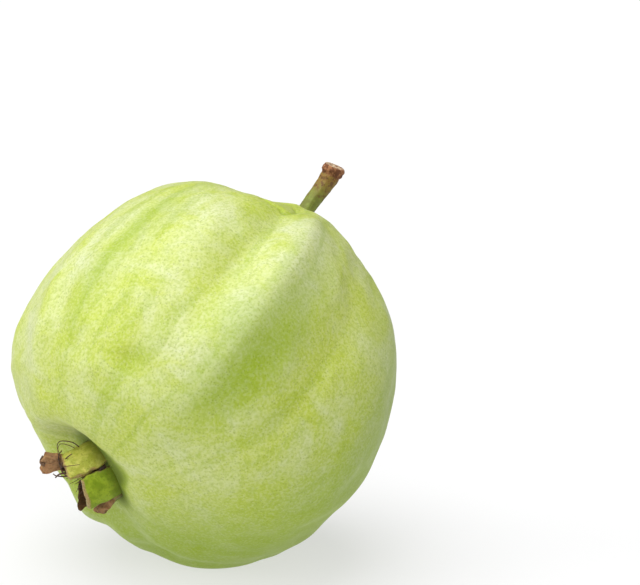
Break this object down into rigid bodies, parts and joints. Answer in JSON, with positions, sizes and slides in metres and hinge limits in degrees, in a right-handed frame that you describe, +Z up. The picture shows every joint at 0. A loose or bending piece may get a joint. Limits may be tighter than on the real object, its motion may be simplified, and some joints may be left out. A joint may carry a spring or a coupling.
{
  "type": "guava",
  "caption": "Whole green apple guava lying on its side: a lobed, ribbed fruit with its woody stalk and the sepals and dried stamens at its blossom end.",
  "frame": {"origin": "middle of the small flat spot under the fruit that it rests on", "axes": "+Z up from the surface it rests on; -Y towards the side with the sharpest lobe, where the fruit is looked at with its blossom end to the left (-X) and its stalk to the right and up (+X)"},
  "size_m": [0.0938, 0.0956, 0.0945],
  "materials": {
    "skin": null,
    "stalk": "olive-green woody stalk with a red-brown cut end, matt",
    "sepal": null,
    "dried": "dried dark-brown threads, matt"
  },
  "bodies": {
    "root": {"fruit": "skin", "stalk": "stalk", "sepal_1": "sepal", "sepal_2": "sepal", "sepal_3": "sepal", "sepal_4": "sepal", "sepal_5": "sepal", "stamens": "dried"}
  },
  "joints": []
}
